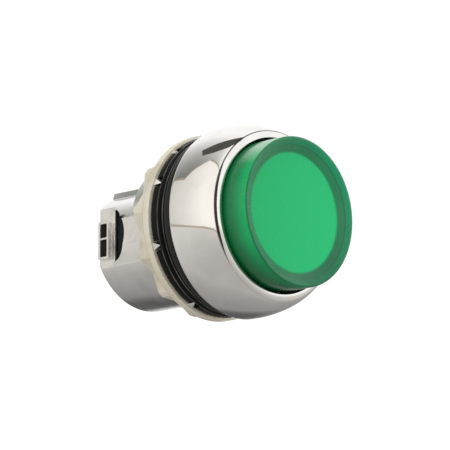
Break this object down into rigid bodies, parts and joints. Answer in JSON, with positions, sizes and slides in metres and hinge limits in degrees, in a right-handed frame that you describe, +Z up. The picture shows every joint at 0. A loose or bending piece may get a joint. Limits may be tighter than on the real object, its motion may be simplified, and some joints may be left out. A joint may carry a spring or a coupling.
{
  "type": "illuminated panel push button head",
  "caption": "Round illuminated push-button head with a chrome dome bezel, raised green lens, gasket, star nut and keyed rear barrel.",
  "frame": {"origin": "centre of the panel seat on the button's axis, at the rear plane of the panel gasket", "axes": "+Y along the button's axis towards the rear of the panel, the way the button is pressed; the lens faces -Y; +Z is up, with the barrel's cut-down flat top uppermost; +X to the right as seen from the front"},
  "size_m": [0.0294, 0.0338, 0.0294],
  "materials": {
    "chrome": "bright plated zinc die-casting",
    "yellow_zinc": "cream-yellow passivated zinc, satin",
    "green_lens": "translucent moulded, glossy",
    "black_rubber": "semi-matt",
    "black_plastic": "moulded, semi-matt",
    "white_plastic": "moulded, opal",
    "spring_steel": "drawn wire and stamped sheet"
  },
  "bodies": {
    "housing": {"bezel": "chrome", "guide_sleeve": "black_plastic", "body_barrel": "chrome", "side_insert_left": "black_plastic", "side_insert_right": "black_plastic", "rear_bush": "black_plastic", "stop_ring": "spring_steel", "lip_seal": "black_rubber", "seal_retainer": "black_plastic", "spring_seat": "spring_steel", "return_spring": "spring_steel", "bezel_o_ring": "black_rubber", "cushion_ring": "black_rubber", "panel_gasket": "black_rubber"},
    "button": {"lens_cap": "green_lens", "legend_plate": "white_plastic", "diffuser_disc": "white_plastic", "lens_seal_ring": "black_rubber", "lens_holder": "white_plastic", "push_sleeve": "black_plastic"},
    "washer": {"clamp_washer": "yellow_zinc"},
    "nut": {"locking_nut": "yellow_zinc"}
  },
  "joints": [
    {"name": "button_press", "type": "slide", "parent": "housing", "child": "button", "axis": [0, 1, 0], "range_m": [0, 0.004], "stiffness_N_per_m": 400, "springref_m": -0.007, "deforming": ["return_spring"]},
    {"name": "washer_slide", "type": "slide", "parent": "housing", "child": "washer", "axis": [0, 1, 0], "range_m": [0, 0.0045]},
    {"name": "nut_turn", "type": "hinge", "parent": "washer", "child": "nut", "pos_m": [0, 0, 0], "axis": [0, 1, 0], "range_deg": [0, 1080]}
  ],
  "couplings": [
    {"joint": "nut_turn", "follows": "washer_slide", "rad_per_m": 4188.8}
  ]
}
